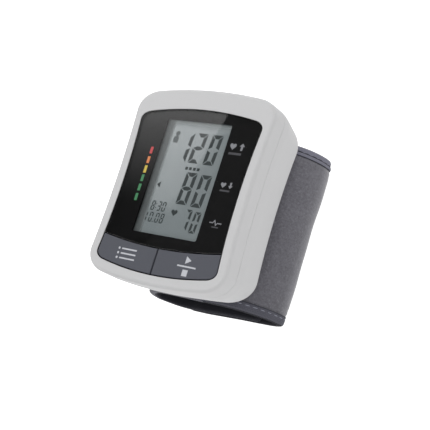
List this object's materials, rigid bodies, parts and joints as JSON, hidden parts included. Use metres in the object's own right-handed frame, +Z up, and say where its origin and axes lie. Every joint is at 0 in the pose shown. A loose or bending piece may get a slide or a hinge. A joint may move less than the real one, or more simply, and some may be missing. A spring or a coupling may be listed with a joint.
{
  "type": "wrist blood pressure monitor",
  "caption": "Rounded waisted case with a wide display window and push keys below it, hooked on a soft flattened wrist cuff whose loose end laps round outside.",
  "frame": {"origin": "on the ground under the middle of the object's box, with the cuff closed and lying on its flat bottom", "axes": "+Z up out of the display, +Y along the wrist towards the top of the display, +X to the right of the display"},
  "size_m": [0.0684, 0.0806, 0.0563],
  "materials": {
    "shell": "satin",
    "button": "matte",
    "lens": "polished",
    "glass": "satin",
    "dark_plastic": "matte",
    "white_plastic": "satin",
    "board": "satin",
    "black_rubber": "matte",
    "tube": "satin",
    "steel": "satin",
    "brass": "satin",
    "battery_wrap": "gloss",
    "velour": "velour",
    "lining": "plain weave",
    "binding": "ribbed tape",
    "foam": "felted",
    "film": "satin",
    "hook": "matte"
  },
  "bodies": {
    "monitor": {"front_cover": "shell", "rear_cover": "shell", "cuff_plate": "dark_plastic", "display_lens": "lens", "lcd_panel": "glass", "lcd_frame": "white_plastic", "strip_connector_upper": "black_rubber", "strip_connector_lower": "black_rubber", "memory_switch": "dark_plastic", "start_switch": "dark_plastic", "main_board": "board", "processor_chip": "dark_plastic", "pressure_sensor": "white_plastic", "buzzer": "dark_plastic", "case_screw_1": "steel", "case_screw_2": "steel", "case_screw_3": "steel", "case_screw_4": "steel", "board_screw_1": "steel", "board_screw_2": "steel", "board_screw_3": "steel", "board_screw_4": "steel", "battery_tray": "dark_plastic", "battery_1": "battery_wrap", "battery_2": "battery_wrap", "contact_positive": "brass", "contact_negative": "brass", "contact_bridge": "brass", "coil_negative": "steel", "coil_bridge": "steel", "motor_can": "steel", "pump_housing": "dark_plastic", "pump_diaphragm": "black_rubber", "pump_cap": "dark_plastic", "air_manifold": "white_plastic", "air_tube_pump": "tube", "air_tube_valve": "tube", "air_nipple": "white_plastic", "valve_coil": "brass", "valve_spring": "steel", "cuff_binding": "binding", "cuff_outer_cloth": "velour", "cuff_stiffener": "film", "air_bladder": "black_rubber", "cuff_inner_cloth": "lining"},
    "memory_key": {"memory_button": "button", "memory_plunger": "white_plastic"},
    "start_key": {"start_button": "button", "start_plunger": "white_plastic"},
    "door": {"battery_door": "shell"},
    "loose_end": {"flap_binding": "binding", "flap_outer_cloth": "velour", "flap_interlining": "foam", "flap_inner_cloth": "lining", "hook_pad": "hook"},
    "rotor": {"motor_rotor": "brass", "pump_crank": "white_plastic"},
    "valve": {"valve_plunger": "steel"}
  },
  "joints": [
    {"name": "memory_press", "type": "slide", "parent": "monitor", "child": "memory_key", "axis": [0, 0, -1], "range_m": [0, 0.0005], "stiffness_N_per_m": 800},
    {"name": "start_press", "type": "slide", "parent": "monitor", "child": "start_key", "axis": [0, 0, -1], "range_m": [0, 0.0005], "stiffness_N_per_m": 800},
    {"name": "door_slide", "type": "slide", "parent": "monitor", "child": "door", "axis": [-1, 0, 0], "range_m": [0, 0.012]},
    {"name": "loose_end_hinge", "type": "hinge", "parent": "monitor", "child": "loose_end", "pos_m": [0.02787, 0, 0.02296], "axis": [0, 1, 0], "range_deg": [-70, 0]},
    {"name": "rotor_spin", "type": "hinge", "parent": "monitor", "child": "rotor", "pos_m": [0.0213, 0, 0.0394], "axis": [0, 1, 0], "continuous": true},
    {"name": "valve_stroke", "type": "slide", "parent": "monitor", "child": "valve", "axis": [0, -1, 0], "range_m": [0, 0.001], "stiffness_N_per_m": 120, "deforming": ["valve_spring"]}
  ]
}
